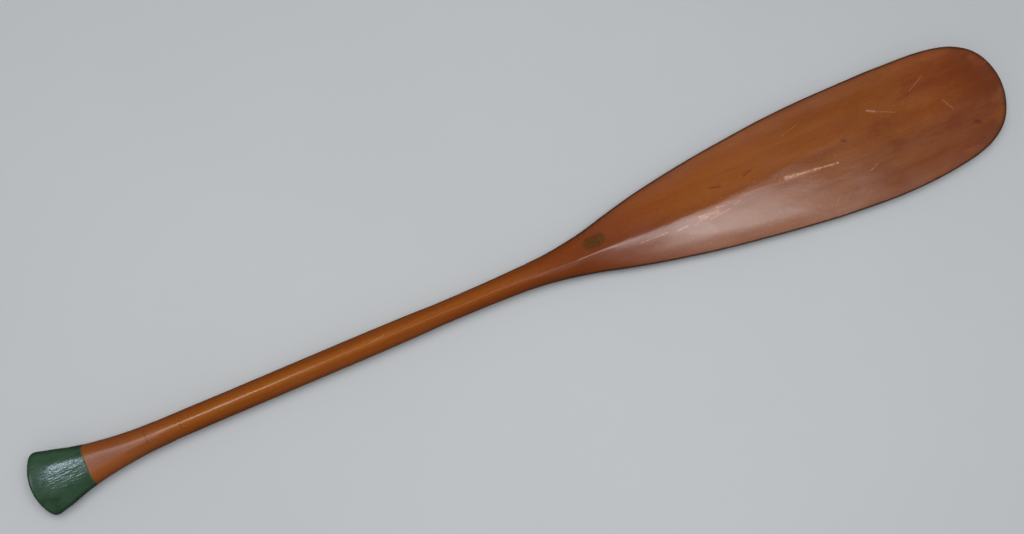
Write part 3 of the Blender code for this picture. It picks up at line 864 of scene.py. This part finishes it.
# ------------------------------------------------------------------ worn transfer, no lettering
def worn_transfer():
    film = Surface("worn_transfer", AXIS + (DECAL_X * MM, DECAL_Y * MM, 0.0))
    place = film.place
    varnish = film.noise(place, (420, 620, 620), detail=4.0, rough=0.7)
    film.colour = srgb(122, 55, 16)
    film.paint((70, 36, 12), where=film.ease(varnish, over=(0.30, 0.66), to=(0.24, 0.0)))

    # what is left of the film: speckled all over, gone at its border
    flake = film.noise(place, (560, 640, 640), detail=4.0, rough=0.65)
    ragged = film.noise(place, (150, 190, 190))
    patch = film.noise(place, (150, 210, 210), detail=2.0, shift=(0.31, 0.12, 0.0))

    def outward(position, half_size):
        part = film.math("DIVIDE", film.math("ABSOLUTE", position), half_size)
        return film.math("POWER", part, 2.6)

    border = film.plus(outward(film.x, half_size=0.0164), outward(film.y, half_size=0.0094),
                       film.times(film.math("SUBTRACT", ragged, 0.5), 1.7))
    left = film.plus(film.times(flake, 0.8), film.times(patch, 0.2))
    left = film.math("SUBTRACT", left, film.times(film.ease(border, over=(0.55, 1.25)), 0.22))
    tone = film.noise(place, (260, 260, 260), detail=4.0)
    film_colour = film.ramp(tone, [
        (0.3, srgb(70, 46, 10)), (0.55, srgb(84, 54, 12)), (0.8, srgb(96, 60, 16)),
    ])
    film.colour = film.mix(film.ease(left, over=(0.37, 0.50), to=(0.0, 0.90)),
                           film.colour, film_colour)
    return film.finish({
        "Roughness": film.slope(flake, over=(0.3, 0.7), to=(0.38, 0.55)),
        "Specular IOR Level": 0.04,
        "Coat Weight": 0.9,
        "Coat Roughness": 0.20,
        "Normal": film.bump(film.ease(flake, over=(0.5, 0.6)), strength=0.4,
                            distance=0.00008),
    })


# ------------------------------------------------------------------ wooden pieces
def add_piece(name, mesh, material):
    """Puts a mesh in the scene in place of the CAD piece of that name."""
    mesh.name = f"{name}_fine"
    mesh.shade_smooth()
    mesh.set_sharp_from_angle(angle=math.radians(50))
    mesh.materials.append(material)
    piece = bpy.data.objects.new(f"{name}_fine", mesh)
    bpy.context.scene.collection.objects.link(piece)
    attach(piece, "root")
    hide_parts(name)


def wood_off(x):
    """Under the enamel the wood is a little smaller; the change is a short ramp."""
    return UNDER_PAINT * (1 - float(smooth(PAINT_X - 0.5, PAINT_X + 0.5, x)))


# the wood starts just inside the enamel, and has close stations at the paint line
wood_x = np.unique(np.concatenate([
    END_X + 0.31 + end_steps[end_steps < 3.0], all_x[all_x > END_X + 3.4],
    [PAINT_X - 0.6, PAINT_X - 0.25, PAINT_X, PAINT_X + 0.25, PAINT_X + 0.6],
]))


def add_wood(name, mesh):
    add_piece(name, mesh, wood_material)


def add_wing(side, sign):
    """The part of the blade outside the middle piece."""
    start = station_at(sign, 0.0, 100.0, NOSE_Y)
    stop = station_at(sign, TIP_X, 640.0, NOSE_Y)
    xs = all_x[(all_x > start + 0.5) & (all_x < stop - 0.02)]
    xs = np.concatenate([[start], xs, [stop]])
    add_wood(f"blade_wing_{side}", loft_piece(xs, edge_ys(sign, zone=3.0, near=9, rest=26)))


def add_cheek(side, sign):
    """The part of the grip outside the middle piece."""
    start = station_at(sign, END_X, END_X + 12, NOSE_Y, UNDER_PAINT)
    stop = station_at(sign, -480.0, -600.0, NOSE_Y)
    xs = wood_x[(wood_x > start + 0.02) & (wood_x < stop - 0.5)]
    xs = np.concatenate([[start], xs, [stop]])
    add_wood(f"grip_cheek_{side}",
             loft_piece(xs, edge_ys(sign, zone=9.0, near=12, rest=10), wood_off))


NOSE_Y = STEM_HALF + PIECE_GAP + NOSE
wood_material = varnished_wood()
add_wood("shaft_stem", loft_piece(wood_x, stem_ys, wood_off))
for side, sign in (("left", 1), ("right", -1)):
    add_wing(side, sign)
    add_cheek(side, sign)


# ------------------------------------------------------------------ enamel on the grip
def cup_ring(x, off):
    left, right = rim(x, 1, off), rim(x, -1, off)
    angle = np.linspace(0, np.pi, 97)
    middle, half = (left + right) / 2, (left - right) / 2
    return section_ring(x, middle + half * np.cos(angle), off)


def enamel_cup():
    """An outer skin from the end to the paint line, a rolled lip, and an inner skin."""
    steps = np.concatenate([end_steps, steps_between(END_DEPTH, PAINT_X - END_X, 1.5)[1:]])
    for off in (CUP_OUT, CUP_IN):
        prepare_rims(END_X - off + steps, np.full(steps.shape, off))

    def skin(off, distances, short):
        xs = [END_X - off + distance for distance in distances]
        return [cup_ring(x, off) for x in xs if x < PAINT_X - short]

    # distance short of the paint line, offset
    lip = [(0.45, CUP_OUT), (0.2, CUP_OUT - 0.05), (0.08, CUP_OUT - 0.13), (0.08, -0.02),
           (0.6, -0.12)]
    rings = skin(CUP_OUT, steps, short=0.6)
    rings += [cup_ring(PAINT_X - short, off) for short, off in lip]
    rings += skin(CUP_IN, steps[::2], short=2.0)[::-1]
    return closed_loft([ring for ring, _ in rings], {"rim": [depth for _, depth in rings]})


add_piece("grip_enamel", enamel_cup(), green_enamel())


# ------------------------------------------------------------------ transfer on the throat
def film_mesh(nx=66, ny=40, lifts=(0.03, 0.09), bulge=0.30):
    """A thin closed film with bowed-in corners that follows the blade's front."""
    u = np.linspace(-1, 1, nx + 1)[:, None] * np.ones((1, ny + 1))
    v = np.linspace(-1, 1, ny + 1)[None, :] * np.ones((nx + 1, 1))
    x = DECAL_X + DECAL_SIZE[0] / 2 * u * np.sqrt(1 - bulge * v * v)
    y = DECAL_Y + DECAL_SIZE[1] / 2 * v * np.sqrt(1 - bulge * u * u)
    z = half_depth(x, y)
    build = bmesh.new()
    grids = []
    for lift in lifts:
        points = to_frame(x, y, z + lift)
        grids.append([[build.verts.new(points[i, j]) for j in range(ny + 1)]
                      for i in range(nx + 1)])
    for grid in grids:
        for i in range(nx):
            for j in range(ny):
                build.faces.new((grid[i][j], grid[i + 1][j], grid[i + 1][j + 1],
                                 grid[i][j + 1]))
    border = [(i, 0) for i in range(nx)] + [(nx, j) for j in range(ny)]
    border += [(i, ny) for i in range(nx, 0, -1)] + [(0, j) for j in range(ny, 0, -1)]
    low, top = grids
    for (i, j), (next_i, next_j) in zip(border, border[1:] + border[:1]):
        build.faces.new((low[i][j], low[next_i][next_j], top[next_i][next_j], top[i][j]))
    bmesh.ops.recalc_face_normals(build, faces=build.faces)
    mesh = bpy.data.meshes.new("film")
    build.to_mesh(mesh)
    build.free()
    return mesh


add_piece("throat_decal", film_mesh(), worn_transfer())

# ------------------------------------------------------------------ floor
FLOOR_HALF = 40.0
FLOOR_DROP = 0.0002         # below the lowest point of the CAD


def pale_floor():
    sheet = Surface("pale_floor")
    cloud = sheet.noise(sheet.place, (1.6, 1.6, 1.6), detail=4.0, rough=0.55)
    base = sheet.ramp(cloud, [(0.3, (0.585, 0.608, 0.634)), (0.7, (0.605, 0.627, 0.650))])
    # painted light falloff: darker towards +x, +y
    away = sheet.vector("DOT_PRODUCT", sheet.place, (0.589, 0.808, 0.0))
    fade = sheet.mix(sheet.slope(away, over=(-0.50, 0.50), to=(0.0, 1.0)),
                     (1.10, 1.10, 1.10), (0.84, 0.838, 0.84))
    base = sheet.mix(1.0, base, fade, blend="MULTIPLY")
    # painted light far out, where the key light doesn't reach: the sheet is painted paler there
    # and meets the backdrop
    radius = sheet.vector("LENGTH", sheet.mapping(sheet.place, stretch=(1, 1, 0)))
    sheet.colour = sheet.mix(sheet.ease(radius, over=(0.95, 3.2)), base, (0.97, 0.97, 0.97))
    grain = sheet.noise(sheet.place, (220, 220, 220))
    return sheet.finish({
        "Roughness": 0.85,
        "Specular IOR Level": 0.1,
        "Normal": sheet.bump(grain, strength=0.05, distance=0.0003),
    })


def add_floor():
    mesh = bpy.data.meshes.new("floor")
    z = cad_low[2] - FLOOR_DROP
    corners = [(x * FLOOR_HALF, y * FLOOR_HALF, z)
               for x, y in ((-1, -1), (1, -1), (1, 1), (-1, 1))]
    mesh.from_pydata(corners, [], [(0, 1, 2, 3)])
    floor = bpy.data.objects.new("floor", mesh)
    mesh.materials.append(pale_floor())
    bpy.context.scene.collection.objects.link(floor)
    floor.visible_glossy = False


add_floor()


def from_axis(x, y, z):
    return (AXIS[0] + x, AXIS[1] + y, AXIS[2] + z)


# ------------------------------------------------------------------ camera, over the paddle
VIEW_CENTRE = (3.8297305, 20.4830531)         # millimetres from the axis
CAMERA_HEIGHT = 1.60                          # metres above the paddle's middle plane
VIEW_RIGHT = Vector((0.92062, -0.39047, 0.0))
VIEW_UP = Vector((0.39047, 0.92062, 0.0))

camera_data = bpy.data.cameras.new("camera")
camera_data.sensor_width = 36.0
camera_data.lens = 42.15375
camera_data.clip_end = 50.0
camera = bpy.data.objects.new("camera", camera_data)
view = Matrix((VIEW_RIGHT, VIEW_UP, Vector((0, 0, 1)))).transposed().to_4x4()
view.translation = from_axis(VIEW_CENTRE[0] * MM, VIEW_CENTRE[1] * MM, CAMERA_HEIGHT)
camera.matrix_world = view
bpy.context.scene.collection.objects.link(camera)
bpy.context.scene.camera = camera

# ------------------------------------------------------------------ light
PANEL_HEIGHT = 2.0
COOL = (0.97, 0.985, 1.0)
# name, x, y, length, width (metres), turn (degrees), radiance, share of the radius
# at full strength, colour
PANELS = [
    ("strip_far", -0.97, 0.40, 1.02, 0.60, -29.0, 6.0, 0.25, (1.0, 0.96, 0.90)),
    ("strip_near", -0.16, -0.05, 1.80, 0.50, -29.0, 0.9, 0.4, (1.0, 0.95, 0.86)),
    ("blade_wide", 0.69, -0.36, 1.06, 0.76, 28.0, 4.6, 0.1, COOL),
    ("blade_low", 0.42, -0.86, 0.80, 0.60, 60.0, 2.4, 0.2, COOL),
    ("blade_hot", 0.625, -0.385, 0.34, 0.24, 50.0, 63.0, 0.05, COOL),
    ("grip_panel", -1.465, 0.35, 0.20, 0.80, 0.0, 43.0, 0.35, (0.69, 0.84, 1.0)),
    ("grip_end", -3.6, 0.40, 3.20, 0.80, 0.0, 5.5, 0.2, (0.93, 0.985, 1.0)),
]


def area_light(name, length, width, energy, colour):
    data = bpy.data.lights.new(name, "AREA")
    data.shape = "RECTANGLE"
    data.size, data.size_y = length, width
    data.energy = energy
    data.color = colour
    light = bpy.data.objects.new(name, data)
    bpy.context.scene.collection.objects.link(light)
    return light


def overhead(name, x, y, length, width, turn, radiance, core, colour):
    """A panel over the paddle that diffuse surfaces don't see, fading to its borders."""
    light = area_light(name, length, width, radiance * math.pi * length * width, colour)
    light.data.use_nodes = True
    glow = Graph(light.data.node_tree)
    u, v, _ = glow.split(glow.node("NewGeometry").outputs["Parametric"])
    u, v = (glow.times(glow.math("SUBTRACT", part, 0.5), 2.0) for part in (u, v))
    radius = glow.math("SQRT", glow.plus(glow.times(u, u), glow.times(v, v)))
    strength = glow.ease(radius, over=(core, 1.0), to=FALLING)
    glow.feed(glow.tree.nodes["Emission"], {"Strength": strength})
    light.matrix_world = Matrix.Translation(from_axis(x, y, PANEL_HEIGHT)) @ Matrix.Rotation(
        math.radians(turn), 4, "Z")
    light.visible_diffuse = False


for panel in PANELS:
    overhead(*panel)

# the large soft key overhead, towards +x, +y; it only lights, it isn't mirrored
key = area_light("key", length=2.6, width=1.2, energy=38.5, colour=(1.0, 0.985, 0.96))
key_place = Vector(from_axis(0.40, 0.50, 2.15))
key_aim = (Vector(from_axis(0.0, 0.0, 0.0)) - key_place).normalized().to_track_quat("-Z", "Y")
key.matrix_world = Matrix.Translation(key_place) @ key_aim.to_matrix().to_4x4()
key.visible_glossy = False

# the room: pale and even for the floor and the wood, a dimmer ceiling in reflections
world = bpy.data.worlds.new("studio")
world.use_nodes = True
room = Graph(world.node_tree)
is_glossy = room.node("LightPath").outputs["Is Glossy Ray"]
room.feed(room.tree.nodes["Background"], {
    "Strength": room.slope(is_glossy, over=(0.0, 1.0), to=(0.32, 0.04)),
    "Color": (0.93, 0.965, 1.0, 1.0),
})
bpy.context.scene.world = world

bpy.context.scene.view_settings.view_transform = "Standard"
bpy.context.scene.view_settings.look = "None"
